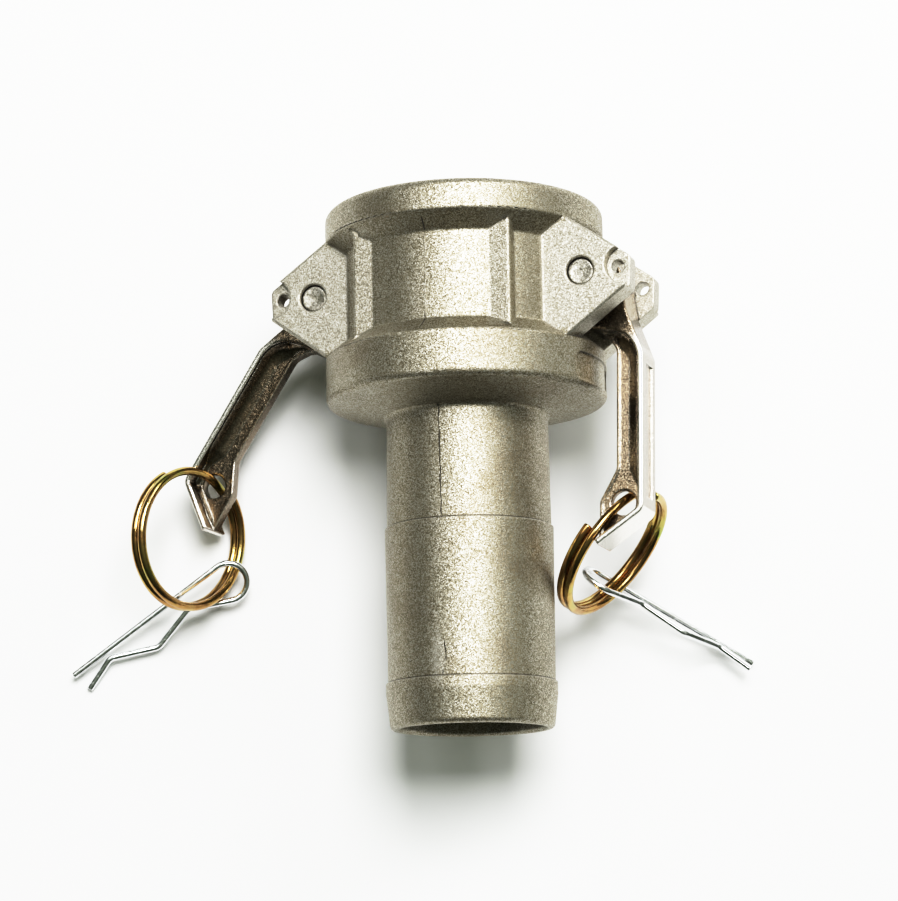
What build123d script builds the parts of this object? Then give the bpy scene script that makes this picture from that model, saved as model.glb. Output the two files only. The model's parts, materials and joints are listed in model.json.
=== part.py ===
from build123d import *
import os
from math import acos, atan2, cos, degrees, hypot, sin, tan

# A hose-shank cam and groove coupler for 50 mm hose, lying on its flange and collar.
# Origin: centre of the socket's mouth, on the coupler's axis. +Y leaves the mouth, +Z is up.
# Each piece is first drawn upright in the casting's own frame (x from ear to ear, z along
# the pivot pins) and is then rolled about Y to the angle at which the coupler lies.

# How it lies
roll = 18.7                   # the left ear is lowered by this many degrees

# Casting, turned forms (radii, and distances down from the mouth)
socket_r = 31.95
socket_chamfer = 0.8
flange_r = 42.64
flange_edge = 2.6             # rounding of the mouth's outer edge
flange_depth = 9.4
waist_r = 36.8
waist_top = 14.3
waist_bottom = 40.8
collar_top = 45.5
collar_bottom = 59.2
collar_edge = 2.2
cast_round = 1.0              # rounding where the turned forms meet
neck_top = 64.0
neck_round = 1.6
shank_r = 24.75               # shank just above the upper barb
shank_wall = 3.35
neck_draft = 0.25             # how much slimmer the shank is at the neck
overall_length = 157.9
shank_nose = 13.6             # from the lower barb to the shank's end
barb_pitch = 46.5
lower_barb = overall_length - shank_nose
upper_barb = lower_barb - barb_pitch
upper_barb_step = 0.65        # each step is measured out from the shank's radius
barb_foot_step = 0.2          # foot of the upper barb, where the lower one steps out
lower_barb_step = 0.85
barb_land = 3.2               # straight part of the lower barb
end_taper = 0.35
end_chamfer = 0.8
neck_r = shank_r - neck_draft
upper_barb_r = shank_r + upper_barb_step
barb_foot_r = shank_r + barb_foot_step
lower_barb_r = shank_r + lower_barb_step
shank_end_r = shank_r - end_taper
waterway_r = shank_r - shank_wall

# Gasket and its seat
seat_undercut = 1.95          # how far the seat reaches out behind the socket's wall
seat_width = 8.3
seat_top = 44.6
seat_height = 7.0
throat_height = 5.9           # of the cone from the seat's lip to the waterway
gasket_gap = 0.3
gasket_overhang = 0.2         # how far the gasket reaches in past the seat's lip
gasket_thickness = 6.4
gasket_edge = 0.6
seat_r = socket_r + seat_undercut
seat_lip_r = seat_r - seat_width
seat_bottom = seat_top + seat_height
throat_bottom = seat_bottom + throat_height

# Ribs beside the ears
rib_top = 33.5                # height of the rib's flat top above the axis
rib_inner = 12.0
rib_outer = 21.5
rib_foot = 26.0
rib_round = 0.7

# Ears
ear_outer = 20.0
slot_half = 11.1              # half the gap between the two plates of an ear
ear_root = 27.0
ear_top = (37.8, 8.9)         # where the plate's upper edge leaves the flange: x, depth
ear_tip_top = (57.0, 22.6)
ear_tip_bottom = (56.5, 31.9)
ear_bottom = (37.2, 46.2)     # where the plate's lower edge meets the collar
ear_corner = 2.2
ear_bevel = 0.7
tip_pad_step = 3.1            # how far the tip's face lies below the ear's
tip_pad_r = 6.0
tip_pad_shift = 2.7
window_top = 12.6             # opening for the cam, through the waist's wall
window_bottom = 40.8

# Pivot pins and the holes for the safety clips
pivot = (42.2, 26.4)          # x, depth
pin_r = 4.0
ear_hole_gap = 0.15
ear_hole_bevel = 0.35
pin_recess = 1.3              # how far the pin's end lies below the ear's face
pin_bevel = 0.5
clip_hole = (53.05, 25.6)
clip_hole_r = 2.0

# Plain recessed pad on the collar, below the right ear
pad_middle = 53.5             # depth from the mouth
pad_height = 8.6
pad_width = 32.0
pad_corner = 3.0
pad_recess = 0.7

# Cam arms (drawn with the pivot at 0, 0, x away from the body and y along the closed arm)
arm_half_width = 7.4
arm_side_gap = 0.25           # the arm lies against the lower plate of its ear
arm_bore_gap = 0.08
arm_lean_right = -1.73        # opening angle of each arm as it lies, from parallel
arm_lean_left = 32.9
head_r = 8.8
cam_centre = (-7.2, -2.8)
cam_r = 6.1
back_top = (9.9, -9.0)        # sloping back of the head
handle_face = 15.0            # outer face of the handle, from the pivot
handle_top = 21.9
handle_bend = 69.3
handle_top_round = 4.0
handle_bend_round = 3.6
tip_point = (1.0, -79.3)
handle_wall = 1.8
pocket_arc_centre = (3.7, -24.0)
arm_edge = 0.6                # rounding of the arm's long edges
web_half = 1.5
web_root = 11.5               # the web starts this far below the pivot, inside the head
web_neck = (2.6, -15.4)
web_edge = 5.5
web_straight = (19.5, 56.0)   # the web's straight inner edge runs between these depths
web_rounds = (4.0, 5.0, 4.0)
web_rim = 0.9
web_rim_height = 0.45
eye_centre = (7.5, -66.2)
eye_margin = 7.2              # from the eye's centre to the web's inner edge beside it
eye_shoulders = (0.6, -3.8)   # ends of that edge, above and below the eye's centre
eye_r = 3.7
eye_bevel = 0.4
face_recess = 0.7
face_recess_half = 4.0
face_recess_span = (24.6, 65.0)

# Pull rings: a round wire wound in a coil, as it lies (centre, direction to the middle of the
# single-wire stretch, direction of the coil's axis)
ring_wire_r = 1.35
ring_r = 21.0                 # of the wire's centreline
ring_pitch = 2.8
ring_turns = 1.8
ring_left_lie = ((-86.66, -95.23, -23.40), (0.165, 0.985, -0.040), (0.774, -0.104, 0.624))
ring_right_lie = ((43.16, -104.14, -4.93), (0.133, 0.576, 0.806), (0.722, -0.614, 0.319))

# Safety clips: one wire bent round an eye, with a straight and a cranked leg (centre of the
# eye, direction of the straight leg, direction of the clip's normal)
clip_wire_r = 1.05
clip_eye_r = 6.0              # of the wire's centreline
clip_tip = (56.3, 0.3)
clip_cranks = [(14.9, -0.7), (29.2, -6.1), (43.8, -1.0), (54.3, -6.0)]
clip_crank_round = 3.0
clip_left_lie = ((-75.50, -107.28, -34.90), (-0.861, -0.503, -0.076), (-0.117, 0.342, -0.933))
clip_right_lie = ((40.60, -110.81, -22.68), (0.845, -0.432, -0.315), (0.532, 0.739, 0.412))


def turned(points):
    """A solid turned about the coupler's axis from (radius, depth) points."""
    line = Polyline(*[(r, -d) for r, d in points], close=True)
    return revolve(make_face(line), Axis.Y)


def rolled(shape):
    """The shape turned about the coupler's axis, from upright to as it lies."""
    return Rot(0, -roll, 0) * shape


def outer_profile():
    """Half section of the casting's turned outside, filled to the axis."""
    outline = [
        (0, 0),
        (flange_r, 0),
        (flange_r, flange_depth),
        (waist_r, waist_top),
        (waist_r, waist_bottom),
        (flange_r, collar_top),
        (flange_r, collar_bottom),
        (neck_r, neck_top),
        (shank_r, upper_barb),
        (upper_barb_r, upper_barb),
        (barb_foot_r, lower_barb),
        (lower_barb_r, lower_barb),
        (lower_barb_r, lower_barb + barb_land),
        (shank_end_r, overall_length),
        (0, overall_length),
    ]
    corner_rounds = {
        (flange_r, 0): flange_edge,
        (flange_r, flange_depth): cast_round,
        (waist_r, waist_top): cast_round,
        (waist_r, waist_bottom): cast_round,
        (flange_r, collar_top): cast_round,
        (flange_r, collar_bottom): collar_edge,
        (neck_r, neck_top): neck_round,
    }
    with BuildSketch() as section:
        with BuildLine():
            Polyline(*[(r, -d) for r, d in outline], close=True)
        make_face()
        for (r, d), radius in corner_rounds.items():
            corner = section.vertices().sort_by_distance((r, -d))[0]
            fillet(corner, radius)
    return section.sketch


def ear_plate():
    """One ear plate at +x and +z: a slab with a lowered pad round the clip's hole."""
    corners = [ear_top, ear_tip_top, ear_tip_bottom, ear_bottom]
    with BuildSketch() as outline:
        with BuildLine():
            points = [(x, -d) for x, d in corners]
            Polyline((ear_root, -ear_top[1]), *points, (ear_root, -ear_bottom[1]), close=True)
        make_face()
        for x, d in (ear_tip_top, ear_tip_bottom):
            corner = outline.vertices().sort_by_distance((x, -d))[0]
            fillet(corner, ear_corner)
    thickness = ear_outer - slot_half
    plate = extrude(Plane.XY.offset(slot_half) * outline.sketch, thickness)
    rim = plate.faces().sort_by(Axis.Z)[-1].edges()
    rim = rim.filter_by(lambda edge: edge.center().X > ear_root + 1.0)
    plate = chamfer(rim, ear_bevel)
    pad_x = clip_hole[0] + tip_pad_shift
    recess_at = Plane.XY.offset(ear_outer - tip_pad_step)
    disc = Pos(pad_x, -clip_hole[1]) * Circle(tip_pad_r)
    beyond = Pos(pad_x + tip_pad_r, -clip_hole[1]) * Rectangle(2 * tip_pad_r, 6 * tip_pad_r)
    return plate - extrude(recess_at * (disc + beyond), 2 * tip_pad_step)


def coupler_body():
    """The casting: flange, waist, ribs, ears, collar and barbed shank in one piece."""
    body = revolve(outer_profile(), Axis.Y)
    rib_width = rib_outer - rib_inner
    rib_length = collar_top - flange_depth
    for side in (-1, 1):
        for face in (-1, 1):
            rib = Box(rib_width, rib_length, rib_top - rib_foot)
            crest = rib.edges().filter_by(Axis.Y).sort_by(Axis.Z)[-2:].sort_by(Axis.X)[-1]
            rib = fillet(crest, rib_round)
            middle = (rib_inner + rib_width / 2, -(flange_depth + collar_top) / 2)
            rib = Pos(middle[0], middle[1], (rib_top + rib_foot) / 2) * rib
            ear = ear_plate()
            for shape in (rib, ear):
                if side < 0:
                    shape = mirror(shape, Plane.YZ)
                if face < 0:
                    shape = mirror(shape, Plane.XY)
                body += shape
    inside = turned([
        (0, 0),
        (socket_r + socket_chamfer, 0),
        (socket_r, socket_chamfer),
        (socket_r, seat_top),
        (seat_r, seat_top),
        (seat_r, seat_bottom),
        (seat_lip_r, seat_bottom),
        (waterway_r, throat_bottom),
        (waterway_r, overall_length - end_chamfer),
        (waterway_r + end_chamfer, overall_length),
        (0, overall_length),
    ])
    body -= inside
    window_length = window_bottom - window_top
    for side in (-1, 1):
        window = Box(ear_root, window_length, 2 * slot_half)
        body -= Pos(side * pivot[0], -(window_top + window_length / 2), 0) * window
        for (x, d), r in ((pivot, pin_r + ear_hole_gap), (clip_hole, clip_hole_r)):
            body -= Pos(side * x, -d, 0) * Cylinder(r, 3 * ear_outer)
    pivot_rims = body.edges().filter_by(GeomType.CIRCLE).filter_by(
        lambda edge: abs(edge.radius - pin_r - ear_hole_gap) < 0.01
        and abs(abs(edge.center().Z) - ear_outer) < 0.01
    )
    body = chamfer(pivot_rims, ear_hole_bevel)
    return body - marking_pad()


def marking_pad():
    """What the pad on the collar takes away: a plain panel with a floor round the axis."""
    panel = Pos(-pad_middle, 0) * RectangleRounded(pad_height, pad_width, pad_corner)
    panel = extrude(Plane.YZ.offset(waist_r) * panel, flange_r)
    return panel - Rot(90, 0, 0) * Cylinder(flange_r - pad_recess, 2 * overall_length)


def handle_inside():
    """Inner corners of the handle's wall: at the tip's end and at the bend."""
    slope = atan2(-handle_bend - tip_point[1], handle_face - tip_point[0])
    tip_x = tip_point[0] - sin(slope) * handle_wall
    tip_y = tip_point[1] + cos(slope) * handle_wall
    wall_x = handle_face - handle_wall
    return (tip_x, tip_y), (wall_x, tip_y + (wall_x - tip_x) * tan(slope))


def arm_outline():
    """The arm's full-width part: head, cam, outer wall of the handle and its bent tip."""
    bend = (handle_face, -handle_bend)
    tip_inner, bend_inner = handle_inside()
    wall_x = handle_face - handle_wall
    arc_x, arc_y = pocket_arc_centre
    arc_r = wall_x - arc_x
    with BuildSketch() as outline:
        with BuildLine():
            Polyline(
                (arc_x, arc_y + arc_r),
                (-1.5, arc_y + arc_r + 0.7),
                (cam_centre[0], cam_centre[1] - cam_r + 0.3),
                cam_centre,
                (0, 0),
                (head_r - 0.4, -1.0),
                back_top,
                (handle_face, -handle_top),
                bend,
                tip_point,
                tip_inner,
                bend_inner,
                (wall_x, arc_y),
            )
            CenterArc((arc_x, arc_y), arc_r, 0, 90)
        make_face()
        rounded = (((handle_face, -handle_top), handle_top_round), (bend, handle_bend_round),
                   (bend_inner, handle_bend_round - handle_wall))
        for point, radius in rounded:
            fillet(outline.vertices().sort_by_distance(point)[0], radius)
        Circle(head_r)
        with Locations(cam_centre):
            Circle(cam_r)
    return outline.sketch


def web_outline():
    """The thin web between the handle's outer wall and its inner edge, with the ring's eye."""
    wall_x = handle_face - handle_wall / 2
    tip_inner = handle_inside()[0]
    shoulder_x = eye_centre[0] - eye_margin
    upper, lower = [(shoulder_x, eye_centre[1] + y) for y in eye_shoulders]
    edge_top, edge_bottom = [(web_edge, -y) for y in web_straight]
    with BuildSketch() as outline:
        with BuildLine():
            Polyline(
                (cam_centre[0] / 2, -web_root),
                web_neck,
                edge_top,
                edge_bottom,
                upper,
                lower,
                tip_inner,
                (tip_point[0] + web_rim / 3, tip_point[1] + web_rim),
                (wall_x, -handle_bend),
                (wall_x, handle_wall - handle_top),
                (pocket_arc_centre[0], -web_root),
                close=True,
            )
        make_face()
        for point, radius in zip((edge_top, edge_bottom, upper), web_rounds):
            fillet(outline.vertices().sort_by_distance(point)[0], radius)
    return outline.sketch


def cam_arm():
    """One cam arm, closed, with its pivot at the origin and its width along z."""
    heavy = extrude(arm_outline(), arm_half_width, both=True)
    heavy = fillet(heavy.faces().filter_by(Axis.Z).edges(), arm_edge)
    web_face = web_outline()
    web = extrude(web_face, web_half + web_rim_height, both=True)
    sunk = offset(web_face, -web_rim)
    for side in (-1, 1):
        floor = Plane.XY.offset(side * web_half)
        web -= extrude(floor * sunk, side * 2 * web_rim_height)
    arm = heavy + web
    arm -= Cylinder(pin_r + arm_bore_gap, 4 * arm_half_width)
    arm -= Pos(*eye_centre) * Cylinder(eye_r, 4 * arm_half_width)
    eye_rims = arm.edges().filter_by(GeomType.CIRCLE).filter_by(
        lambda edge: abs(edge.radius - eye_r) < 0.01
    )
    arm = chamfer(eye_rims, eye_bevel)
    top, bottom = face_recess_span
    recess = Box(2 * face_recess, bottom - top, 2 * face_recess_half)
    arm -= Pos(handle_face, -(top + bottom) / 2, 0) * recess
    return arm


def place_arm(shape, side):
    """The arm on its pin: side +1 is the right ear, -1 the left one."""
    lean = arm_lean_right if side > 0 else arm_lean_left
    drop = -(slot_half - arm_side_gap - arm_half_width)
    shape = Rot(0, 0, lean) * shape
    if side < 0:
        shape = mirror(shape, Plane.YZ)
    return Pos(side * pivot[0], -pivot[1], drop) * shape


def pivot_pin(side):
    """A plain steel pin through both plates of one ear."""
    half = ear_outer - pin_recess
    pin = Cylinder(pin_r, 2 * half)
    pin = chamfer(pin.edges().filter_by(GeomType.CIRCLE), pin_bevel)
    return Pos(side * pivot[0], -pivot[1], 0) * pin


def gasket():
    """The flat rubber ring that the mating part's nose presses on."""
    outer = seat_r - gasket_gap
    inner = seat_lip_r - gasket_overhang
    top = seat_bottom - gasket_thickness
    return turned([
        (inner, top + gasket_edge),
        (inner + gasket_edge, top),
        (outer, top),
        (outer, seat_bottom),
        (inner, seat_bottom),
    ])


def lying(lie):
    """The plane of a loose piece as it lies: centre, own x direction, own z direction."""
    centre, x_way, z_way = lie
    return Plane(origin=centre, x_dir=x_way, z_dir=z_way)


def pull_ring():
    """A coil of round wire about z, with the single-wire stretch's middle on +x."""
    coil = Helix(ring_pitch, ring_pitch * ring_turns, ring_r)
    start = coil ^ 0
    wire = sweep(start * Circle(ring_wire_r), path=coil, is_frenet=True)
    half_turned = 180 * ring_turns
    return Pos(0, 0, -ring_pitch * ring_turns / 2) * Rot(0, 0, -half_turned) * wire


def leaving_angle(point, side):
    """Angle on the clip's eye at which a straight leg to the point leaves it."""
    x, y = point
    return atan2(y, x) + side * acos(clip_eye_r / hypot(x, y))


def safety_clip():
    """A spring clip in the x-y plane: straight leg, eye and cranked leg of one wire."""
    first = degrees(leaving_angle(clip_tip, 1))
    last = degrees(leaving_angle(clip_cranks[0], -1)) + 360
    eye = CenterArc((0, 0), clip_eye_r, first, last - first)
    straight = Line(clip_tip, eye @ 0)
    cranked = FilletPolyline(eye @ 1, *clip_cranks, radius=clip_crank_round)
    path = Wire([*straight.edges(), *eye.edges(), *cranked.edges()])
    return sweep((path ^ 0) * Circle(clip_wire_r), path=path)


def write(name, shape):
    """Write one piece, as it lies, to its own file."""
    export_step(rolled(shape), f"parts/{name}.step")


os.makedirs("parts", exist_ok=True)
write("coupler_body", coupler_body())
write("gasket", gasket())
for side, word in ((-1, "left"), (1, "right")):
    write(f"cam_arm_{word}", place_arm(cam_arm(), side))
    write(f"pivot_pin_{word}", pivot_pin(side))
loose = (
    ("pull_ring_left", pull_ring(), ring_left_lie),
    ("pull_ring_right", pull_ring(), ring_right_lie),
    ("safety_clip_left", safety_clip(), clip_left_lie),
    ("safety_clip_right", safety_clip(), clip_right_lie),
)
for name, piece, lie in loose:
    export_step(lying(lie) * piece, f"parts/{name}.step")
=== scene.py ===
import json

import bmesh
import bpy
import numpy as np
from mathutils import Matrix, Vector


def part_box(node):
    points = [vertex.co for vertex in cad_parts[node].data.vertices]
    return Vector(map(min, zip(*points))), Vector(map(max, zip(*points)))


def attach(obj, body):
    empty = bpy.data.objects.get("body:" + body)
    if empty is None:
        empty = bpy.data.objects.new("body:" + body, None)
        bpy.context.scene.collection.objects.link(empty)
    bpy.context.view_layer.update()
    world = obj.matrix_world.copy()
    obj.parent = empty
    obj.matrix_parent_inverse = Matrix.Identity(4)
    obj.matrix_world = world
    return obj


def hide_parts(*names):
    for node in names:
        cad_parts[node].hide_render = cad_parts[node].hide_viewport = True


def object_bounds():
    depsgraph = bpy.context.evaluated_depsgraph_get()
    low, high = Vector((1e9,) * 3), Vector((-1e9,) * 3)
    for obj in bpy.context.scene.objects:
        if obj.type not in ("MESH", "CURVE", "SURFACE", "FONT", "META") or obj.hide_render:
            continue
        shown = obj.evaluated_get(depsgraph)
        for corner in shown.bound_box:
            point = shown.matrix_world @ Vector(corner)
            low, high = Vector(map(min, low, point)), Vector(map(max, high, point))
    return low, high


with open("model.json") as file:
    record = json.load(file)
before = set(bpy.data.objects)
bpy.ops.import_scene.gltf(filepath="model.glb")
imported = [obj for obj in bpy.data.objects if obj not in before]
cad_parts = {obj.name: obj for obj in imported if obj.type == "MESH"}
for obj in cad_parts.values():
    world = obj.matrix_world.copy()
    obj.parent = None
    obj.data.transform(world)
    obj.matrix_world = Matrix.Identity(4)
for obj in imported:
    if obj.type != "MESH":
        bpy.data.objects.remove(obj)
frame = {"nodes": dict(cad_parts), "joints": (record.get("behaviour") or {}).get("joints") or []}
cad_bounds = [list(corner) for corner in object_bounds()]


# The casting: flange, waist, ribs, ears, collar and barbed hose shank in one aluminium casting.
# It is poured in a two-part mould, shot-blasted to a fine bright grain and left bare, so it has
# a grey skin with brownish stains, brighter rubbed corners and a seam where the mould parted. Painted
# shade darkens its crevices and the corners before the barbs' steps, and a painted highlight lightens
# the ears' plates and the ribs' tops.
def new_finish(name):
    """An empty finish: the material, its node tree and its shader."""
    material = bpy.data.materials.new(name)
    material.use_nodes = True
    return material, material.node_tree, material.node_tree.nodes["Principled BSDF"]


def add(tree, kind, feeds, **settings):
    """A shader node of that kind. feeds gives each input's value, or the output it is wired to."""
    made = tree.nodes.new(kind)
    for name, value in settings.items():
        setattr(made, name, value)
    for socket, value in feeds.items():
        if isinstance(value, bpy.types.NodeSocket):
            tree.links.new(value, made.inputs[socket])
        else:
            made.inputs[socket].default_value = value
    return made


def cloud(tree, per_metre, detail=3.0, rough=0.55):
    """A soft random pattern, from 0 to 1, with so many lumps to a metre."""
    where = add(tree, "ShaderNodeTexCoord", {}).outputs["Object"]
    noise = add(tree, "ShaderNodeTexNoise", {"Vector": where, "Scale": per_metre,
                                             "Detail": detail, "Roughness": rough})
    return noise.outputs["Fac"]


def steps(tree, amount, stops):
    """The amount turned into a colour by (position, colour) stops."""
    ramp = add(tree, "ShaderNodeValToRGB", {"Fac": amount})
    band = ramp.color_ramp
    while len(band.elements) < len(stops):
        band.elements.new(0.5)
    for element, (position, colour) in zip(band.elements, stops):
        element.position = position
        element.color = (*colour, 1)
    return ramp.outputs["Color"]


def between(tree, amount, low, high):
    """Colour low where the amount is 0 and high where it is 1."""
    mixer = add(tree, "ShaderNodeMix", {0: amount, 6: low, 7: high}, data_type="RGBA")
    return mixer.outputs[2]


def sums(tree, kind, first, second=0.0):
    """One sum on two amounts, such as MULTIPLY."""
    return add(tree, "ShaderNodeMath", {0: first, 1: second}, operation=kind).outputs[0]


def stretched(tree, amount, low, high, to_low=0.0, to_high=1.0):
    """The amount's span from low to high, stretched smoothly over to_low to to_high."""
    made = add(tree, "ShaderNodeMapRange",
               {"Value": amount, "From Min": low, "From Max": high, "To Min": to_low, "To Max": to_high},
               interpolation_type="SMOOTHSTEP")
    return made.outputs["Result"]


def worn_corners(tree, radius, low, high):
    """1 on the corners of a piece: where a normal that is rounded over the radius leaves the face's."""
    rounded = add(tree, "ShaderNodeBevel", {"Radius": radius}, samples=6)
    face = add(tree, "ShaderNodeNewGeometry", {})
    agree = add(tree, "ShaderNodeVectorMath", {0: rounded.outputs[0], 1: face.outputs["Normal"]},
                operation="DOT_PRODUCT")
    return stretched(tree, sums(tree, "SUBTRACT", 1.0, agree.outputs["Value"]), low, high)


def bumps(tree, heights, radius):
    """The shader's normal: corners rounded over the radius, with each (height, depth) pattern added."""
    normal = add(tree, "ShaderNodeBevel", {"Radius": radius}, samples=6).outputs[0]
    for height, depth in heights:
        normal = add(tree, "ShaderNodeBump", {"Height": height, "Distance": depth, "Strength": 1.0,
                                              "Normal": normal}).outputs[0]
    return normal


joints = {joint["name"]: joint for joint in frame["joints"]}
pin_way = np.array(joints["arm_right_pivot"]["axis"])
pin_way = pin_way / np.linalg.norm(pin_way)
ear_way = np.array((pin_way[2], 0.0, -pin_way[0]))
down_way = np.array((0.0, -1.0, 0.0))
cast_roll = float(np.arctan2(-pin_way[0], pin_way[2]))


def casting_ways(tree):
    """The place on the piece: from ear to ear, up the mouth's axis, and along the pins."""
    where = add(tree, "ShaderNodeTexCoord", {}).outputs["Object"]
    turned = add(tree, "ShaderNodeMapping", {"Vector": where, "Rotation": (0.0, cast_roll, 0.0)})
    ways = add(tree, "ShaderNodeSeparateXYZ", {"Vector": turned.outputs[0]})
    return ways.outputs["X"], ways.outputs["Y"], ways.outputs["Z"]


def facets(tree, per_metre):
    """Small cells, each with a random colour of its own: the facets of blasted or cast metal."""
    where = add(tree, "ShaderNodeTexCoord", {}).outputs["Object"]
    return add(tree, "ShaderNodeTexVoronoi", {"Vector": where, "Scale": per_metre}).outputs["Color"]


def tilted(tree, normal, cells, most):
    """The normal, tipped in each cell by the cell's own random colour, up to the most given."""
    centred = add(tree, "ShaderNodeVectorMath", {0: cells, 1: (0.5, 0.5, 0.5)}, operation="SUBTRACT")
    tip = add(tree, "ShaderNodeVectorMath", {0: centred.outputs[0], "Scale": 2.0 * most}, operation="SCALE")
    both = add(tree, "ShaderNodeVectorMath", {0: normal, 1: tip.outputs[0]}, operation="ADD")
    return add(tree, "ShaderNodeVectorMath", {0: both.outputs[0]}, operation="NORMALIZE").outputs[0]


def crevices(tree, reach, low, high):
    """1 in the open and 0 in a crevice that is narrower than the reach: the mask for painted shade."""
    hidden = add(tree, "ShaderNodeAmbientOcclusion", {"Distance": reach}, samples=6)
    return stretched(tree, hidden.outputs["AO"], low, high)


cast_grain = 3200.0               # lumps to a metre
cast_facets = 3300.0
cast_pit_grain = 900.0
cast_mottle = 210.0
cast_stain = 34.0
cast_edge = 0.0009
cast_dark = (0.088, 0.071, 0.042)
cast_mid = (0.290, 0.262, 0.192)
cast_light = (0.640, 0.620, 0.558)
cast_stain_colour = (0.165, 0.132, 0.086)
cast_bright = (0.66, 0.63, 0.56)
# Painted shade in crevices.
cast_crevice_shade = (0.030, 0.025, 0.017)
# Painted shade at the feet of the barbs' steps.
cast_step_shade = (0.055, 0.045, 0.030)
# Lighter skin: a painted highlight on the ears' plates and the ribs' tops, and the bare metal of the chip.
cast_lit_and_chipped = (
    (0.26, (0.300, 0.274, 0.215)),
    (0.50, (0.445, 0.420, 0.355)),
    (0.74, (0.640, 0.620, 0.560)),
)
ear_root = (0.0290, 0.0310)       # the ears' plates stand out past this, within this height
ear_face = (0.0207, 0.0210)
past_flange = (0.04294, 0.04324)
rib_across = (0.0176, 0.0186)     # the ribs' tops begin here, this high, and end at this radius
rib_up = (0.0308, 0.0316)
rib_radius = (0.0406, 0.0412)
waist_foot = (-0.0440, -0.0430)
waist_head = (-0.0120, -0.0110)
barb_feet = (0.09752, 0.14398)    # painted shade lies in the corners just before the barbs' steps
barb_foot_edge = (0.00010, 0.00025)
chip_middle = (-0.0022, -0.1385)
chip_size = (0.0021, 0.0066)
cast, tree, shader = new_finish("shot_blasted_aluminium")
across, upward, along_pin = casting_ways(tree)
grain = cloud(tree, cast_grain, 2.0, 0.6)
cells = facets(tree, cast_facets)
cell_grey = add(tree, "ShaderNodeSeparateColor", {"Color": cells}).outputs["Red"]
pits = cloud(tree, cast_pit_grain, 3.0, 0.65)
mottle = cloud(tree, cast_mottle, 4.0, 0.6)
stain = cloud(tree, cast_stain, 5.0, 0.62)
speckle = sums(tree, "ADD", sums(tree, "MULTIPLY", grain, 0.7), sums(tree, "MULTIPLY", cell_grey, 0.3))
skin = steps(tree, speckle, ((0.26, cast_dark), (0.50, cast_mid), (0.74, cast_light)))
skin = between(tree, stretched(tree, mottle, 0.35, 0.7, 0.0, 0.25), skin, (*cast_mid, 1))
skin = between(tree, stretched(tree, stain, 0.50, 0.78, 0.0, 0.60), skin, (*cast_stain_colour, 1))
sideways = sums(tree, "ABSOLUTE", across)
height = sums(tree, "ABSOLUTE", along_pin)
# Painted highlight: the ears' plates and the ribs' tops are painted lighter, as where they catch the light.
on_ear = sums(tree, "MULTIPLY", stretched(tree, sideways, *ear_root),
              stretched(tree, height, *ear_face, 1.0, 0.0))
radius = sums(tree, "SQRT", sums(tree, "ADD", sums(tree, "MULTIPLY", across, across),
                                 sums(tree, "MULTIPLY", along_pin, along_pin)))
in_waist = sums(tree, "MULTIPLY", stretched(tree, upward, *waist_foot),
                stretched(tree, upward, *waist_head, 1.0, 0.0))
off_turned = sums(tree, "MAXIMUM", stretched(tree, radius, *past_flange), in_waist)
on_rib = sums(tree, "MULTIPLY", stretched(tree, sideways, *rib_across), stretched(tree, height, *rib_up))
on_rib = sums(tree, "MULTIPLY", on_rib, stretched(tree, radius, *rib_radius, 1.0, 0.0))
# This lighter ramp gives the painted highlight on the ears and ribs, and the real chip below.
rubbed = steps(tree, speckle, cast_lit_and_chipped)
lit_face_highlight = sums(tree, "MAXIMUM", sums(tree, "MULTIPLY", on_ear, off_turned),
              sums(tree, "MULTIPLY", on_rib, 0.45))
skin = between(tree, sums(tree, "MULTIPLY", lit_face_highlight, 0.8), skin, rubbed)
chip_x = sums(tree, "DIVIDE", sums(tree, "SUBTRACT", across, chip_middle[0]), chip_size[0])
chip_y = sums(tree, "DIVIDE", sums(tree, "SUBTRACT", upward, chip_middle[1]), chip_size[1])
chip_far = sums(tree, "ADD", sums(tree, "POWER", chip_x, 2.0), sums(tree, "POWER", chip_y, 2.0))
chip_far = sums(tree, "ADD", chip_far, sums(tree, "MULTIPLY", sums(tree, "SUBTRACT", pits, 0.5), 5.0))
on_chip = sums(tree, "MULTIPLY", stretched(tree, chip_far, 0.5, 1.6, 1.0, 0.0),
               sums(tree, "GREATER_THAN", along_pin, 0.0))
skin = between(tree, sums(tree, "MULTIPLY", on_chip, 0.7), skin, rubbed)
# Painted shade: a dark line in the corner at the foot of each barb's step, where shade falls.
from_foot = sums(tree, "MINIMUM", sums(tree, "ABSOLUTE", sums(tree, "ADD", upward, barb_feet[0])),
                 sums(tree, "ABSOLUTE", sums(tree, "ADD", upward, barb_feet[1])))
step_shade_mask = sums(tree, "MULTIPLY", stretched(tree, from_foot, *barb_foot_edge, 1.0, 0.0), 0.75)
skin = between(tree, step_shade_mask, skin, (*cast_step_shade, 1))
corner = sums(tree, "MULTIPLY", worn_corners(tree, cast_edge, 0.02, 0.20), stretched(tree, pits, 0.3, 0.6))
skin = between(tree, sums(tree, "MULTIPLY", corner, 0.6), skin, (*cast_bright, 1))
# Painted shade: the skin goes dark in crevices narrower than the reach, where shade falls.
skin = between(tree, crevices(tree, 0.0011, 0.35, 0.80), (*cast_crevice_shade, 1), skin)
tree.links.new(skin, shader.inputs["Base Color"])
shader.inputs["Metallic"].default_value = 0.92
tree.links.new(stretched(tree, cell_grey, 0.0, 1.0, 0.56, 0.40), shader.inputs["Roughness"])
tree.links.new(tilted(tree, bumps(tree, ((pits, 0.00006), (grain, 0.00008)), cast_edge), cells, 0.078),
               shader.inputs["Normal"])

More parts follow.
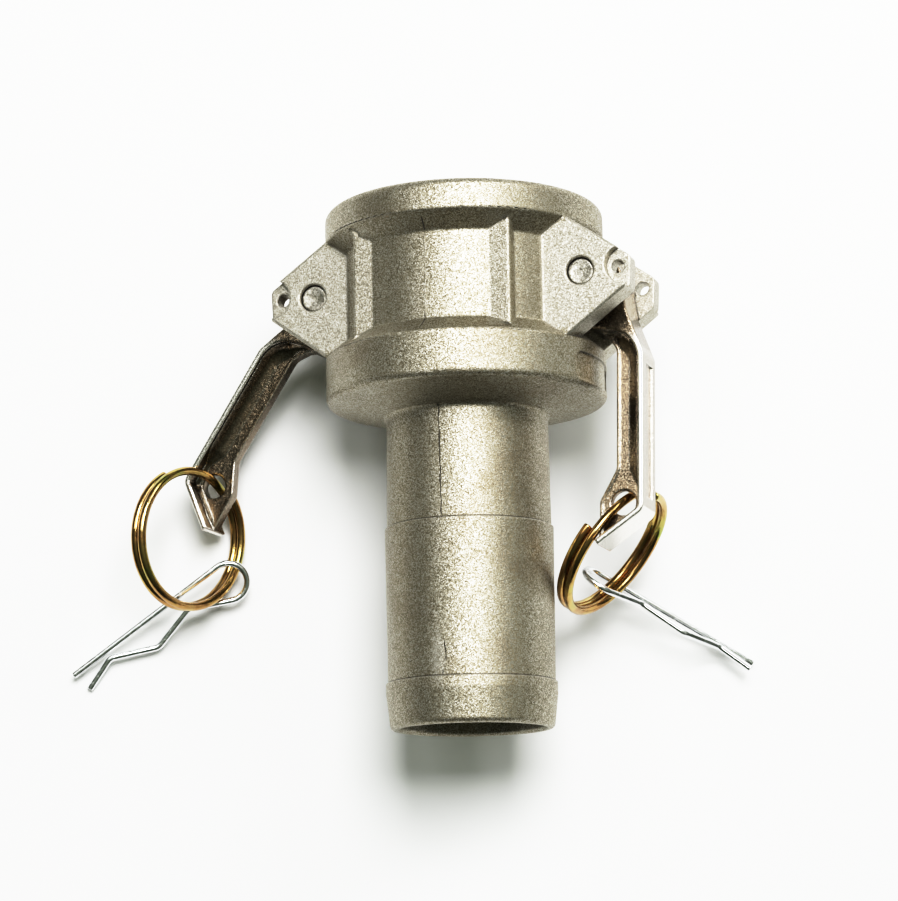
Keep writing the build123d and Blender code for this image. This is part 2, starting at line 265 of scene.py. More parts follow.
rib_old = ((0.01523, 0.03350), (0.02150, 0.02987))    # inner and outer foot on the waist: across, up
rib_new = ((0.01820, 0.03198), (0.02450, 0.02746))
rib_crest = 0.0007
rib_top_new = 0.0320
rib_span = (0.00935, 0.04555)     # depths between flange and collar
rib_inside = 0.0345
waist_ends = (0.0143, 0.0408)
cone_slopes = (-0.839, 0.805)     # depth gained per radius, above and below the waist
ear_starts = 56.5                 # degrees from the pins' way
near = 2e-5
shank_end_radius = 0.0244
end_round = 0.0012


def with_true_ribs(points):
    """The casting's points with its four ribs moved out to where the real ones stand.

    A point of the waist or its cones turns about the axis by an amount that grows to the rib's
    and fades before the ear. A point on a rib's top or flank is shifted to the new top or flank,
    and at a rib's ends it slides along the cone.
    """
    across, up, depth = points @ ear_way, points @ pin_way, -points[:, 1]
    u, w = np.abs(across), np.abs(up)
    radius = np.hypot(u, w)
    skin = (depth > rib_span[0]) & (depth < rib_span[1]) & (radius > rib_inside)
    top, foot = rib_old
    on_top = (np.abs(w - top[1]) < near) & (u > top[0] - 1e-4) & (u < foot[0] + near)
    on_flank = (np.abs(u - foot[0]) < near) & (w > foot[1] - 1e-4) & (w < top[1] + near)
    on_crest = ((u > foot[0] - rib_crest - near) & (u < foot[0] + near)
                & (w > top[1] - rib_crest - near) & (w < top[1] + near))
    rib = skin & (on_top | on_flank | on_crest)
    angle = np.degrees(np.arctan2(u, w))
    knots = [0.0, *(np.degrees(np.arctan2(a, b)) for a, b in rib_old), ear_starts, 90.0]
    moved = [0.0, *(np.degrees(np.arctan2(a, b)) for a, b in rib_new), ear_starts, 90.0]
    turned = np.radians(np.where(skin, np.interp(angle, knots, moved), angle))
    new_u, new_w = radius * np.sin(turned), radius * np.cos(turned)
    shift = np.interp(u, (top[0], foot[0]), (rib_new[0][0] - top[0], rib_new[1][0] - foot[0]))
    rib_w = np.where(w > top[1] - rib_crest, w + rib_top_new - top[1],
                     np.interp(w, (foot[1], top[1] - rib_crest), (rib_new[1][1], rib_top_new - rib_crest)))
    new_u = np.where(rib, u + shift, new_u)
    new_w = np.where(rib, rib_w, new_w)
    grown = np.hypot(new_u, new_w) - radius
    slope = np.where(depth < waist_ends[0], cone_slopes[0],
                     np.where(depth > waist_ends[1], cone_slopes[1], 0.0))
    new_depth = depth + np.where(rib, grown * slope, 0.0)
    changed = ((np.sign(across) * new_u)[:, None] * ear_way + (np.sign(up) * new_w)[:, None] * pin_way
               + new_depth[:, None] * down_way)
    return np.where(skin[:, None], changed, points)


def casting_copy(name):
    """The casting's own mesh, joined up, with its ribs moved and the shank's end rounded.

    The rims of its faces, which belong to one facet only, stay sharp when the faces are joined.
    """
    mesh = frame["nodes"]["coupler_body"].data.copy()
    mesh.name = name
    sides = np.empty(len(mesh.loops), np.int32)
    mesh.loops.foreach_get("edge_index", sides)
    face_ends = np.bincount(sides, minlength=len(mesh.edges)) == 1
    mesh.edges.foreach_set("use_edge_sharp", face_ends)
    shape = bmesh.new()
    shape.from_mesh(mesh)
    bmesh.ops.remove_doubles(shape, verts=shape.verts, dist=2e-6)
    shape.to_mesh(mesh)
    flat = np.empty(3 * len(mesh.vertices), np.float32)
    mesh.vertices.foreach_get("co", flat)
    points = with_true_ribs(flat.reshape(-1, 3).astype(float))
    mesh.vertices.foreach_set("co", points.astype(np.float32).ravel())
    shape.clear()
    shape.from_mesh(mesh)
    end = cad_bounds[0][1]
    rim = [edge for edge in shape.edges
           if all(abs(v.co.y - end) < 1e-5 and abs(np.hypot(v.co.x, v.co.z) - shank_end_radius) < 5e-5
                  for v in edge.verts)]
    bmesh.ops.bevel(shape, geom=rim, offset=end_round, segments=3, profile=0.5, affect="EDGES",
                    clamp_overlap=False)
    shape.to_mesh(mesh)
    shape.free()
    mesh.shade_smooth()
    mesh.materials.clear()
    mesh.materials.append(cast)
    piece = bpy.data.objects.new(name, mesh)
    bpy.context.collection.objects.link(piece)
    return piece


casting = casting_copy("coupler_casting")
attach(casting, "coupler")
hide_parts("coupler_body")


# The mould's seam: where its two halves met, midway between the ears, top and bottom. It is part
# of the casting: a thin ragged ridge of flash round the waist, a cold lap down the neck and at the
# corners, painted dark as the shade in its crack, and a scab low on the shank, where the metal closed
# badly.
seam_outline = np.array((     # the casting's outline along the seam: depth and radius in millimetres
    (9.4, 42.6), (14.3, 36.8), (40.8, 36.8), (45.5, 42.6), (57.4, 42.6), (59.4, 40.4), (64.6, 24.5),
    (97.75, 24.7), (97.85, 25.4), (144.2, 24.95), (144.35, 25.55), (147.5, 25.55), (157.0, 24.45),
)) / 1000
seam_half_width = 0.00026
seam_height = 0.00010
seam_root = 0.0004
seam_sides = 10
ridge_span = (0.0146, 0.0404)
lap_half_width = 0.00018
lap_height = 0.00005
lap_lies = (                  # from and to depth, and how far across the seam the two ends lie
    (0.0102, 0.0150, 0.0002, 0.0001),
    (0.0378, 0.0452, -0.0001, -0.0003),
    (0.0640, 0.0978, -0.0008, -0.0003),
    (0.1342, 0.1402, 0.0001, 0.0005),
    (0.1424, 0.1443, -0.0006, -0.0006),
)


def skin_over(name, points, round_ways=(False, False)):
    """A mesh over a grid of points: a quad between each point and its two next neighbours.

    A way that is marked round joins its last row to its first, and points that fall together,
    as at a pole, become one.
    """
    rows, columns = points.shape[:2]
    numbers = np.arange(rows * columns).reshape(rows, columns)
    if round_ways[0]:
        numbers = np.vstack([numbers, numbers[:1]])
    if round_ways[1]:
        numbers = np.hstack([numbers, numbers[:, :1]])
    quads = np.stack([numbers[:-1, :-1], numbers[1:, :-1], numbers[1:, 1:], numbers[:-1, 1:]], axis=-1)
    mesh = bpy.data.meshes.new(name)
    mesh.from_pydata(points.reshape(-1, 3).tolist(), [], quads.reshape(-1, 4).tolist())
    shape = bmesh.new()
    shape.from_mesh(mesh)
    bmesh.ops.remove_doubles(shape, verts=shape.verts, dist=1e-7)
    bmesh.ops.recalc_face_normals(shape, faces=shape.faces)
    shape.to_mesh(mesh)
    shape.free()
    mesh.shade_smooth()
    piece = bpy.data.objects.new(name, mesh)
    bpy.context.collection.objects.link(piece)
    return piece


def ragged(along, seed, waves=14, finest=900.0):
    """A random ripple between about -1 and 1: waves of random length and phase, added up."""
    random = np.random.default_rng(seed)
    rates = random.uniform(60.0, finest, waves)
    phases = random.uniform(0.0, 2 * np.pi, waves)
    return np.sin(along[..., None] * rates + phases).sum(axis=-1) / np.sqrt(waves)


def along_seam(name, up, span, across, half_width, height, seed, finish, step=0.00012):
    """A ridge along the seam, on the side of the casting that up points to.

    A flat half-round of the half width and height is carried down the casting's outline. Its
    height, width and place across ripple with the depth, it fades at both ends, and its root is
    in the metal. across gives its place at the two ends.
    """
    depth = np.arange(span[0], span[1], step)
    radius = np.interp(depth, seam_outline[:, 0], seam_outline[:, 1])
    ends = np.clip(np.minimum(depth - depth[0], depth[-1] - depth) / 0.0008, 0, 1)
    lifted = height * (0.8 + 0.35 * ragged(depth, seed)) * ends
    middle = np.interp(depth, span, across) + 0.00014 * ragged(depth, seed + 1, finest=1400.0)
    width = half_width * (0.45 + 0.55 * ends) * (1.0 + 0.3 * ragged(depth, seed + 2))
    turn = np.linspace(0, 2 * np.pi, seam_sides, endpoint=False)
    side = middle[:, None] + width[:, None] * np.cos(turn)
    lift = np.where(np.sin(turn) > 0, np.sin(turn) * lifted[:, None], np.sin(turn) * seam_root)
    points = (depth[:, None, None] * down_way + side[..., None] * ear_way
              + (radius[:, None] + lift)[..., None] * up)
    ridge = skin_over(name, points, (False, True))
    ridge.data.materials.append(finish)
    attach(ridge, "coupler")


# Painted shade: the cold laps' strips are painted dark for the shade in their crack.
lap_crack_shade, tree, shader = new_finish("cold_lap_crack_shade")
crack_shade_mottle = cloud(tree, 2400.0, 2.0)
tree.links.new(steps(tree, crack_shade_mottle, ((0.35, (0.010, 0.008, 0.005)), (0.7, (0.060, 0.050, 0.036)))),
               shader.inputs["Base Color"])
shader.inputs["Roughness"].default_value = 0.8
for word, up, seed in (("top", pin_way, 5), ("bottom", -pin_way, 41)):
    along_seam(f"mould_seam_{word}", up, ridge_span, (0.0, 0.0), seam_half_width, seam_height, seed, cast)
    for number, (start, end, start_across, end_across) in enumerate(lap_lies, 1):
        along_seam(f"cold_lap_{word}_{number}", up, (start, end), (start_across, end_across),
                   lap_half_width, lap_height, seed + 3 * number, lap_crack_shade)
along_seam("scab_edge", pin_way, (0.1345, 0.1400), (-0.0003, 0.0001), 0.0002, 0.00012, 77, cast)


# The gasket: a flat black nitrile ring pressed in the groove at the foot of the socket. It is
# moulded in one piece, with softly rounded corners, and the mating part's nose squeezes it.
gasket_low, gasket_high = (np.array(corner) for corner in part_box("gasket"))
gasket_outer = (gasket_high[0] - gasket_low[0]) / 2
gasket_inner = 0.0254
gasket_top = gasket_high[1]
gasket_bottom = gasket_low[1]
gasket_corner = 0.0007
gasket_sides = 160


def rounded_box_section(low, high, corner, each=6):
    """Points round a rectangle from low to high whose corners are quarter circles."""
    turn = np.linspace(0, np.pi / 2, each)
    spread = np.array((1, 1)) * corner
    quarters = []
    for quarter, sign in enumerate(((1, 1), (-1, 1), (-1, -1), (1, -1))):
        centre = np.where(np.array(sign) > 0, high - spread, low + spread)
        angle = turn + quarter * np.pi / 2
        quarters.append(centre + corner * np.stack([np.cos(angle), np.sin(angle)], axis=-1))
    return np.concatenate(quarters)


section = rounded_box_section(np.array((gasket_inner, gasket_bottom)), np.array((gasket_outer, gasket_top)),
                              gasket_corner)
round_turn = np.linspace(0, 2 * np.pi, gasket_sides, endpoint=False)
gasket_points = np.stack([section[None, :, 0] * np.sin(round_turn)[:, None],
                          np.broadcast_to(section[None, :, 1], (gasket_sides, len(section))),
                          section[None, :, 0] * np.cos(round_turn)[:, None]], axis=-1)
gasket = skin_over("gasket_ring", gasket_points, (True, True))
rubber, tree, shader = new_finish("nitrile_rubber")
bloom = cloud(tree, 140.0, 4.0)
tree.links.new(steps(tree, bloom, ((0.35, (0.012, 0.012, 0.012)), (0.7, (0.034, 0.033, 0.031)))),
               shader.inputs["Base Color"])
tree.links.new(stretched(tree, bloom, 0.3, 0.7, 0.48, 0.68), shader.inputs["Roughness"])
tree.links.new(bumps(tree, ((cloud(tree, 2200.0), 0.00003),), 0.0003), shader.inputs["Normal"])
gasket.data.materials.append(rubber)
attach(gasket, "coupler")
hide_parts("gasket")


# The cam arms: investment-cast steel levers, tumbled and oiled to a glossy brown-grey skin. The
# web stays grainy from the shell mould, the rims and outer faces are rubbed bright, and the web
# flows into the handle's wall in a deep cove, as a cast corner does.
arm_grain = 2300.0
arm_edge = 0.0008
arm_half_width = 0.0074
arm_drop = -0.00345           # the arm lies this far below the middle of its ear
arm_leans = {"left": 32.9, "right": -1.73}
arm_sides = {"left": -1, "right": 1}
pocket_dark = (0.070, 0.054, 0.036)
pocket_mid = (0.180, 0.144, 0.102)
pocket_light = (0.400, 0.340, 0.262)
rim_bright = (0.860, 0.830, 0.770)
handle_face = 0.0150          # from the pivot out to the handle's outer face
tip_slope = np.radians(35.5)
tip_face = 0.0651             # from the pivot to the tip's outer face, square to it
head_ends = (-0.0215, -0.0150)
tint_brown = (0.230, 0.165, 0.100)


def pin_middle(side):
    """The middle of one ear's pivot pin."""
    low, high = (np.array(corner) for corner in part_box(f"pivot_pin_{side}"))
    return (low + high) / 2


def wear(node, material):
    """Every face of the node's mesh takes the material."""
    mesh = frame["nodes"][node].data
    mesh.materials.clear()
    mesh.materials.append(material)


def arm_finish(side):
    """The steel of one arm: a brown skin, rubbed bright on its rims, corners and outer faces."""
    steel, tree, shader = new_finish(f"investment_cast_steel_{side}")
    lean = -arm_sides[side] * np.radians(arm_leans[side])
    middle = pin_middle(side)
    flat = (middle @ ear_way, middle[1])
    turned_x = flat[0] * np.cos(lean) - flat[1] * np.sin(lean)
    turned_y = flat[0] * np.sin(lean) + flat[1] * np.cos(lean)
    where = add(tree, "ShaderNodeTexCoord", {}).outputs["Object"]
    placed = add(tree, "ShaderNodeMapping", {"Vector": where, "Rotation": (0.0, cast_roll, lean),
                                             "Location": (-turned_x, -turned_y, -arm_drop)})
    ways = add(tree, "ShaderNodeSeparateXYZ", {"Vector": placed.outputs[0]})
    out = sums(tree, "MULTIPLY", ways.outputs["X"], arm_sides[side])
    along_tip = sums(tree, "SUBTRACT", sums(tree, "MULTIPLY", out, np.sin(tip_slope)),
                     sums(tree, "MULTIPLY", ways.outputs["Y"], np.cos(tip_slope)))
    grit = cloud(tree, arm_grain, 2.0, 0.6)
    lumps = cloud(tree, 420.0, 3.0, 0.6)
    tint = cloud(tree, 70.0, 4.0, 0.6)
    skin = steps(tree, grit, ((0.34, pocket_dark), (0.52, pocket_mid), (0.72, pocket_light)))
    skin = between(tree, stretched(tree, tint, 0.4, 0.7, 0.0, 0.5), skin, (*tint_brown, 1))
    from_middle = sums(tree, "ABSOLUTE", ways.outputs["Z"])
    on_rim = stretched(tree, from_middle, arm_half_width - 0.0010, arm_half_width - 0.0004)
    on_face = stretched(tree, out, handle_face - 0.0012, handle_face - 0.0008, 0.0, 0.30)
    on_tip = stretched(tree, along_tip, tip_face - 0.0012, tip_face - 0.0008)
    bright = sums(tree, "MAXIMUM", sums(tree, "MAXIMUM", on_rim, on_face), on_tip)
    bright = sums(tree, "MULTIPLY", bright, stretched(tree, ways.outputs["Y"], *head_ends, 1.0, 0.0))
    corner = sums(tree, "MULTIPLY", worn_corners(tree, arm_edge, 0.02, 0.22),
                  stretched(tree, lumps, 0.25, 0.5, 0.5, 1.0))
    rubbed_off = sums(tree, "MAXIMUM", corner, sums(tree, "MULTIPLY", bright, 0.88))
    skin = between(tree, rubbed_off, skin, (*rim_bright, 1))
    tree.links.new(skin, shader.inputs["Base Color"])
    shader.inputs["Metallic"].default_value = 1.0
    tree.links.new(stretched(tree, grit, 0.3, 0.7, 0.30, 0.16), shader.inputs["Roughness"])
    rough_cast = tilted(tree, bumps(tree, ((lumps, 0.00007), (grit, 0.00004)), arm_edge),
                        facets(tree, arm_grain), 0.05)
    polished = bumps(tree, ((lumps, 0.00003),), arm_edge)
    shine = add(tree, "ShaderNodeMix", {0: bright, 4: rough_cast, 5: polished}, data_type="VECTOR")
    tree.links.new(shine.outputs[1], shader.inputs["Normal"])
    return steel


arm_steels = {side: arm_finish(side) for side in ("left", "right")}
for side, steel in arm_steels.items():
    wear(f"cam_arm_{side}", steel)

wall_inside = 0.0132          # from the pivot out to the wall's inner face
arc_middle = (0.0037, -0.0240)
arc_radius = wall_inside - arc_middle[0]
bend_depth = 0.06853
tip_inside = (-0.00007, -0.07782)
web_floor = 0.0015
cove_radius = 0.0042
cove_small = 0.0014           # beside the ring's eye and along the tip
cove_narrows = (0.0560, 0.0615)
cove_into_metal = 0.00015
cove_fades = 0.004
bend_blend = 0.0020


def cove_path(each=70):
    """The foot of the handle's wall, from head to tip: points, inward directions and run so far.

    A quarter circle turns out of the head, a straight line runs down the wall to the bend, and a
    second one runs in to the tip.
    """
    turn = np.linspace(np.pi / 2, 0, each)
    round_out = np.stack([np.cos(turn), np.sin(turn)], axis=-1)
    arc = np.array(arc_middle) + arc_radius * round_out
    down = np.linspace(arc_middle[1], -bend_depth, 2 * each)[1:]
    wall = np.stack([np.full(len(down), wall_inside), down], axis=-1)
    share = np.linspace(0, 1, each)[1:, None]
    bend = np.array((wall_inside, -bend_depth))
    line = np.concatenate([arc, wall, bend * (1 - share) + np.array(tip_inside) * share])
    run = np.concatenate([[0.0], np.cumsum(np.linalg.norm(np.diff(line, axis=0), axis=1))])
    slope = np.array(tip_inside) - bend
    slope = slope / np.linalg.norm(slope)
    past_bend = run - run[len(arc) + len(wall) - 1]
    turned = np.clip(past_bend / bend_blend + 0.5, 0, 1)[:, None]
    inward = np.array((-1.0, 0.0)) * (1 - turned) + np.array((slope[1], -slope[0])) * turned
    inward[:len(arc)] = -round_out
    return line, inward / np.linalg.norm(inward, axis=1, keepdims=True), run


def cove(name, side, face):
    """The cove between one arm's web and wall, on the face of the web that face gives.

    The section is the corner that a circle leaves when it touches web and wall. Its radius
    narrows to the small one before the eye, and to nothing at both ends.
    """
    line, inward, run = cove_path()
    radius = np.interp(-line[:, 1], cove_narrows, (cove_radius, cove_small))
    radius = radius * np.clip(np.minimum(run, run[-1] - run) / cove_fades, 0, 1)
    sunk = np.minimum(radius, cove_into_metal)
    turn = np.linspace(0, np.pi / 2, 12)
    wide, under = radius[:, None], -sunk[:, None]
    out = np.concatenate([wide * (1 - np.sin(turn)), under, under, wide], axis=1)
    up = np.concatenate([wide * (1 - np.cos(turn)), wide, under, under], axis=1)
    flat = line[:, None, :] + out[..., None] * inward[:, None, :]
    lean = np.radians(arm_leans[side])
    x = arm_sides[side] * (flat[..., 0] * np.cos(lean) - flat[..., 1] * np.sin(lean))
    y = flat[..., 0] * np.sin(lean) + flat[..., 1] * np.cos(lean)
    z = face * (web_floor + up) + arm_drop
    points = pin_middle(side) + x[..., None] * ear_way - y[..., None] * down_way + z[..., None] * pin_way
    piece = skin_over(name, points, (False, True))
    piece.data.set_sharp_from_angle(angle=np.radians(40.0))
    piece.data.materials.append(arm_steels[side])
    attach(piece, f"arm_{side}")


for side in ("left", "right"):
    for word, face in (("upper", 1), ("lower", -1)):
        cove(f"arm_cove_{side}_{word}", side, face)


# The pivot pins: turned steel pins driven through both plates of an ear. Their ends lie a little
# below the ear's face and are left rough where they were struck and staked.
pin_radius = 0.004
pin_half_length = 0.0187
pin_corner = 0.0006
pin_sides = 72
pin_steel, tree, shader = new_finish("staked_pin_steel")
struck = cloud(tree, 900.0, 4.0, 0.7)
patina = cloud(tree, 260.0, 4.0, 0.6)
skin = steps(tree, struck, ((0.32, (0.06, 0.052, 0.040)), (0.46, (0.34, 0.32, 0.27)),
                            (0.68, (0.66, 0.64, 0.58))))
skin = between(tree, stretched(tree, patina, 0.48, 0.7, 0.0, 0.6), skin, (0.16, 0.15, 0.10, 1))
tree.links.new(skin, shader.inputs["Base Color"])
shader.inputs["Metallic"].default_value = 0.9
tree.links.new(stretched(tree, struck, 0.3, 0.7, 0.55, 0.32), shader.inputs["Roughness"])
tree.links.new(bumps(tree, ((struck, 0.00025),), 0.0003), shader.inputs["Normal"])


def pin_surface(name, centre, seed):
    """A closed pin turned about its own axis.

    Its outline runs from the middle of one end over a rounded corner and along the side to the
    other end. The ends ripple with the place on them, deepest in the middle, as struck ends do.
    """
    face = np.linspace(0, pin_radius - pin_corner, 12)
    turn = np.linspace(0, np.pi / 2, 6)[1:]
    out = np.concatenate([face, pin_radius - pin_corner + pin_corner * np.sin(turn)])
    drop = np.concatenate([np.zeros(12), pin_corner * (1 - np.cos(turn))])
    radius = np.concatenate([out, out[::-1]])
    height = np.concatenate([pin_half_length - drop, drop[::-1] - pin_half_length])
    around = np.linspace(0, 2 * np.pi, pin_sides, endpoint=False)
    x = radius[:, None] * np.cos(around)
    y = radius[:, None] * np.sin(around)
    dents = ragged(x + 1.7 * y, seed, finest=1600.0) * ragged(y - 0.6 * x, seed + 1, finest=1600.0)
    inside = np.clip(1 - (radius / (pin_radius - pin_corner)) ** 2, 0, 1)[:, None]
    depth = np.sign(height)[:, None] * (0.00014 * dents - 0.00035) * inside
    points = (centre + x[..., None] * ear_way + y[..., None] * down_way
              + (height[:, None] + depth)[..., None] * pin_way)
    return skin_over(name, points, (False, True))


for side, seed in (("left", 21), ("right", 34)):
    pin = pin_surface(f"staked_pin_{side}", pin_middle(side), seed)
    pin.data.materials.append(pin_steel)
    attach(pin, "coupler")
    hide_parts(f"pivot_pin_{side}")


# The pull rings: round spring wire wound nearly twice round, zinc-plated and yellow-passivated,
# which gives gold with drifts of brown, green and rose. Each is screwed through its arm's eye.
ring_wire = 0.00135
ring_radius = 0.021
ring_pitch = 0.0028
ring_turns = 1.8
ring_lies = {
    "left": ((-0.08666, -0.09523, -0.02340), (0.165, 0.985, -0.040), (0.774, -0.104, 0.624)),
    "right": ((0.04316, -0.10414, -0.00493), (0.133, 0.576, 0.806), (0.722, -0.614, 0.319)),
}


def own_axes(lie):
    """Centre and the three directions of a loose piece: x as given, z as given, y across both."""
    centre, x_way, z_way = (np.array(row, float) for row in lie)
    z_way = z_way / np.linalg.norm(z_way)
    x_way = x_way - (x_way @ z_way) * z_way
    x_way = x_way / np.linalg.norm(x_way)
    return centre, x_way, np.cross(z_way, x_way), z_way


def end_taper(corner, wire):
    """A wire's end: places along it from the end on, and the radius at each.

    The end is closed by a flat face, and its corner is a quarter circle.
    """
    turn = np.linspace(0, np.pi / 2, 5)
    start_radius = np.concatenate([[0.0], wire - corner + corner * np.sin(turn)])
    start_place = np.concatenate([[0.0], corner * (1 - np.cos(turn))])
    return start_place, start_radius


def ways_along(path):
    """The unit direction at each point of a path. An end takes its neighbour's, as ends are doubled."""
    forward = np.gradient(path, axis=0)
    forward[0], forward[-1] = forward[1], forward[-2]
    return forward / np.linalg.norm(forward, axis=1, keepdims=True)


def wire_round(name, path, side_way, up_way, radius, sides=20):
    """A wire: a circle of the given radius at each point of the path, square to it."""
    around = np.linspace(0, 2 * np.pi, sides, endpoint=False)
    circle = (np.cos(around)[None, :, None] * side_way[:, None, :]
              + np.sin(around)[None, :, None] * up_way[:, None, :])
    return skin_over(name, path[:, None, :] + radius[:, None, None] * circle, (False, True))


def ring_coil(name, lie, steps_round=520):
    """The coil: the wire's centre goes round at the ring's radius and climbs one pitch a turn."""
    centre, x_way, y_way, z_way = own_axes(lie)
    reach = 2 * np.pi * ring_radius * ring_turns
    ends, end_radius = end_taper(0.0004, ring_wire)
    even = np.linspace(ends[-1], reach - ends[-1], steps_round)
    along = np.concatenate([ends, even[1:-1], reach - ends[::-1]])
    radius = np.concatenate([end_radius, np.full(steps_round - 2, ring_wire), end_radius[::-1]])
    angle = (along / reach - 0.5) * 2 * np.pi * ring_turns
    out = np.cos(angle)[:, None] * x_way + np.sin(angle)[:, None] * y_way
    path = centre + ring_radius * out + (ring_pitch * angle / (2 * np.pi))[:, None] * z_way
    up = np.cross(ways_along(path), out)
    return wire_round(name, path, out, up, radius)


yellow_zinc, tree, shader = new_finish("yellow_zinc_wire")
drift = cloud(tree, 75.0, 3.0, 0.5)
fleck = cloud(tree, 420.0, 3.0, 0.6)
skin = steps(tree, drift, ((0.28, (0.30, 0.36, 0.11)), (0.42, (0.50, 0.35, 0.13)),
                           (0.56, (0.38, 0.22, 0.09)), (0.74, (0.60, 0.46, 0.22))))
skin = between(tree, stretched(tree, fleck, 0.5, 0.75, 0.0, 0.5), skin, (0.15, 0.085, 0.03, 1))
tree.links.new(skin, shader.inputs["Base Color"])
shader.inputs["Metallic"].default_value = 1.0
tree.links.new(stretched(tree, fleck, 0.3, 0.7, 0.10, 0.24), shader.inputs["Roughness"])
tree.links.new(bumps(tree, ((fleck, 0.00006),), 0.0002), shader.inputs["Normal"])
for side, lie in ring_lies.items():
    ring = ring_coil(f"split_ring_{side}", lie)
    ring.data.materials.append(yellow_zinc)
    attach(ring, f"ring_{side}")
    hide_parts(f"pull_ring_{side}")


# The safety clips: bright zinc-plated spring wire, bent cold round a former to an open eye with
# a straight leg, which goes through the ears' holes, and a cranked leg, which snaps over the ear.
clip_wire = 0.00105
clip_eye = 0.006
clip_tip = np.array((0.0563, 0.0003))
clip_cranks = np.array(((0.0149, -0.0007), (0.0292, -0.0061), (0.0438, -0.0010), (0.0543, -0.0060)))
clip_crank_round = 0.003
clip_lies = {
    "left": ((-0.07550, -0.10728, -0.03490), (-0.861, -0.503, -0.076), (-0.117, 0.342, -0.933)),
    "right": ((0.04060, -0.11081, -0.02268), (0.845, -0.432, -0.315), (0.532, 0.739, 0.412)),
}


def clip_centreline(step=0.0004):
    """The wire's centreline in the clip's own plane, evenly stepped.

    From the tip a straight line runs to where it touches the eye's circle, an arc goes round the
    far side, and straight lines with rounded corners follow the cranks to the other end.
    """
    def touch(point, side):
        return np.arctan2(point[1], point[0]) + side * np.arccos(clip_eye / np.hypot(*point))

    first = touch(clip_tip, 1)
    last = touch(clip_cranks[0], -1) + 2 * np.pi
    turn = np.linspace(first, last, 60)
    parts = [clip_tip[None, :], clip_eye * np.stack([np.cos(turn), np.sin(turn)], axis=-1)]
    corners = np.vstack([parts[1][-1:], clip_cranks])
    for before, here, after in zip(corners[:-2], corners[1:-1], corners[2:]):
        back = (before - here) / np.linalg.norm(before - here)
        on = (after - here) / np.linalg.norm(after - here)
        half = np.arccos(np.clip(back @ on, -1, 1)) / 2
        middle = here + (back + on) / np.linalg.norm(back + on) * clip_crank_round / np.sin(half)
        start = here + back * clip_crank_round / np.tan(half)
        end = here + on * clip_crank_round / np.tan(half)
        blend = np.linspace(0, 1, 9)[:, None]
        chord = start + (end - start) * blend - middle
        parts.append(middle + clip_crank_round * chord / np.linalg.norm(chord, axis=1, keepdims=True))
    parts.append(clip_cranks[-1:])
    line = np.vstack(parts)
    run = np.concatenate([[0.0], np.cumsum(np.linalg.norm(np.diff(line, axis=0), axis=1))])
    ends, end_radius = end_taper(0.0003, clip_wire)
    even = np.linspace(ends[-1], run[-1] - ends[-1], int(run[-1] / step))
    places = np.concatenate([ends, even[1:-1], run[-1] - ends[::-1]])
    radius = np.concatenate([end_radius, np.full(len(even) - 2, clip_wire), end_radius[::-1]])
    flat = np.stack([np.interp(places, run, line[:, 0]), np.interp(places, run, line[:, 1])], axis=-1)
    return flat, radius


def bent_clip(name, lie):
    """The clip: its flat centreline laid in its own plane, with the round wire carried along it."""
    centre, x_way, y_way, z_way = own_axes(lie)
    flat, radius = clip_centreline()
    path = centre + flat[:, :1] * x_way + flat[:, 1:] * y_way
    up = np.broadcast_to(z_way, path.shape)
    return wire_round(name, path, np.cross(up, ways_along(path)), up, radius)


bright_zinc, tree, shader = new_finish("bright_zinc_wire")
drawn = cloud(tree, 700.0, 3.0, 0.6)
cast_over = cloud(tree, 60.0, 3.0)
skin = steps(tree, drawn, ((0.3, (0.72, 0.73, 0.74)), (0.7, (0.95, 0.95, 0.95))))
skin = between(tree, stretched(tree, cast_over, 0.45, 0.7, 0.0, 0.5), skin, (0.80, 0.82, 0.84, 1))
tree.links.new(skin, shader.inputs["Base Color"])
shader.inputs["Metallic"].default_value = 1.0
tree.links.new(stretched(tree, drawn, 0.3, 0.7, 0.14, 0.28), shader.inputs["Roughness"])
tree.links.new(bumps(tree, ((drawn, 0.00003),), 0.0002), shader.inputs["Normal"])
for side, lie in clip_lies.items():
    clip = bent_clip(f"spring_clip_{side}", lie)
    clip.data.materials.append(bright_zinc)
    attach(clip, f"clip_{side}")
    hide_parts(f"safety_clip_{side}")


# The table: a plain pale sheet of paper under the coupler. A broad soft box stands overhead, with
# a smaller one to the upper right and a card to the left. The camera's film lifts the contrast of
# the middle tones and rolls the brightest ones off softly, as in the photograph.
floor_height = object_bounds()[0][2]
floor_reach = 3.0
studio_up = (0.25, 0.30, 0.92)
film_curve = ((0.0, 0.0), (0.10, 0.066), (0.30, 0.280), (0.60, 0.630), (1.0, 0.870), (1.6, 0.968),
              (4.0, 1.0))
corner = np.array(((-1, -1), (1, -1), (1, 1), (-1, 1))) * floor_reach
floor_mesh = bpy.data.meshes.new("table")
floor_mesh.from_pydata([(x, y, floor_height) for x, y in corner.tolist()], [], [(0, 1, 2, 3)])
table = bpy.data.objects.new("table", floor_mesh)
bpy.context.collection.objects.link(table)
paper, tree, shader = new_finish("pale_table")
tree.links.new(steps(tree, cloud(tree, 6.0, 2.0), ((0.3, (0.90, 0.905, 0.90)), (0.7, (0.93, 0.93, 0.925)))),
               shader.inputs["Base Color"])
shader.inputs["Roughness"].default_value = 0.7
shader.inputs["Specular IOR Level"].default_value = 0.2
table.data.materials.append(paper)


def soft_box(name, place, target, size, power):
    """A square soft light at the place, turned to the target."""
    light = bpy.data.lights.new(name, "AREA")
    light.size = size
    light.energy = power
    lamp = bpy.data.objects.new(name, light)
    back = np.array(place, float) - np.array(target, float)
    lamp.matrix_world = aimed(place, back, (0.0, 1.0, 0.0))
    lamp.visible_camera = False
    bpy.context.collection.objects.link(lamp)


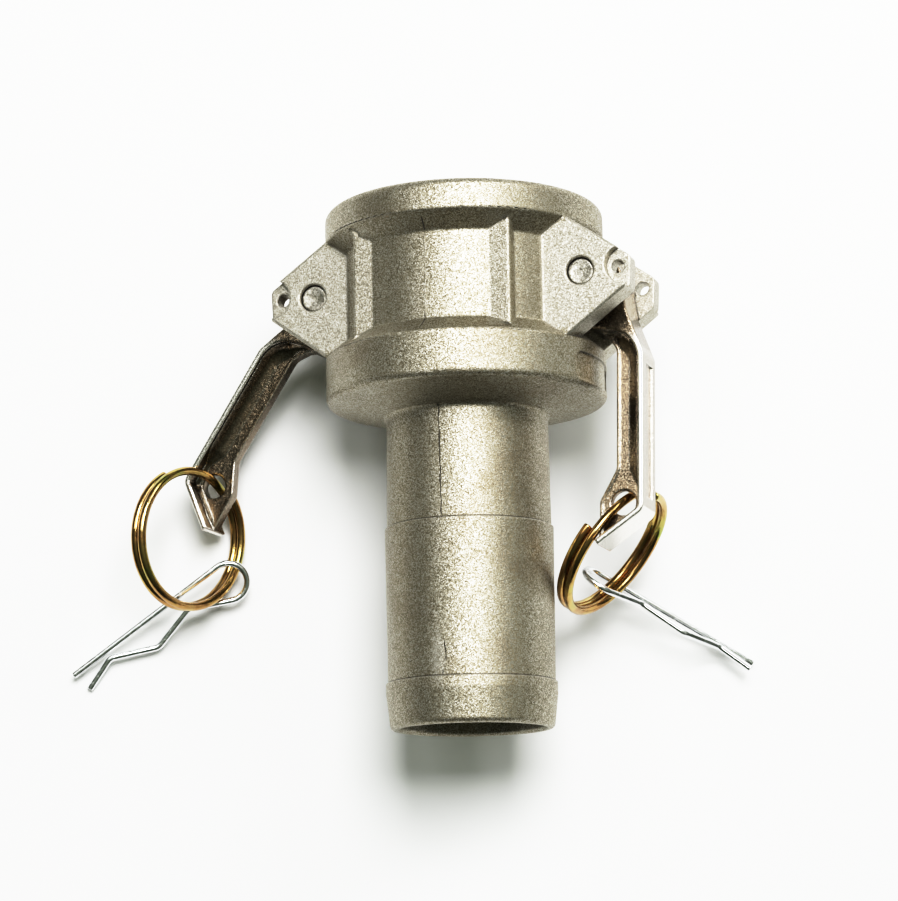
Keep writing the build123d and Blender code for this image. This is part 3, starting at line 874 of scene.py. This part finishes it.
def aimed(place, back, up):
    """The placing of a light or camera whose own +Z is back and whose own +Y leans to up."""
    z_way = np.array(back, float) / np.linalg.norm(back)
    x_way = np.cross(up, z_way)
    x_way = x_way / np.linalg.norm(x_way)
    y_way = np.cross(z_way, x_way)
    columns = np.stack([x_way, y_way, z_way, np.array(place, float)], axis=-1)
    return Matrix([*columns.tolist(), (0, 0, 0, 1)])


soft_box("overhead_box", (0.16, 0.42, 1.45), (0, -0.06, 0), 0.75, 36.0)
soft_box("key_box", (0.75, 0.70, 0.75), (0, -0.06, 0), 0.50, 6.0)
soft_box("left_card", (-0.58, 0.27, 1.12), (0, -0.10, 0), 0.42, 2.4)
world = bpy.data.worlds.new("studio")
world.use_nodes = True
tree = world.node_tree
way = add(tree, "ShaderNodeTexCoord", {}).outputs["Generated"]
facing = add(tree, "ShaderNodeVectorMath", {0: way, 1: studio_up}, operation="DOT_PRODUCT")
walls = steps(tree, facing.outputs["Value"], ((0.10, (0.030, 0.036, 0.027)), (0.55, (0.120, 0.140, 0.108)),
                                              (0.95, (0.310, 0.345, 0.280))))
seen = add(tree, "ShaderNodeLightPath", {}).outputs["Is Camera Ray"]
tree.links.new(between(tree, seen, walls, (0.86, 0.87, 0.86, 1)), tree.nodes["Background"].inputs["Color"])
bpy.context.scene.world = world
look = bpy.context.scene.view_settings
look.view_transform = "Standard"
look.use_curve_mapping = True
look.curve_mapping.clip_max_x = 4.0
look.curve_mapping.use_clip = False
film = look.curve_mapping.curves[3]
film.points[0].location = film_curve[0]
film.points[1].location = film_curve[-1]
for place in film_curve[1:-1]:
    film.points.new(*place)
look.curve_mapping.update()

# The camera stands where the photograph was taken from, as fitted to the coupler's outline there.
photo_focal = 2700.0          # pixels
photo_longest = 901.0
camera_place = (-0.0057, -0.2321, 0.8015)
camera_back = (0.0, -0.1942, 0.9810)
camera_up = (0.0171, 0.98085, 0.19417)
lens_data = bpy.data.cameras.new("lens")
lens_data.sensor_width = 36.0
lens_data.lens = photo_focal / photo_longest * 36.0
lens_data.clip_start = 0.05
lens_data.clip_end = 20.0
camera = bpy.data.objects.new("camera", lens_data)
camera.matrix_world = aimed(camera_place, camera_back, camera_up)
bpy.context.collection.objects.link(camera)
bpy.context.scene.camera = camera
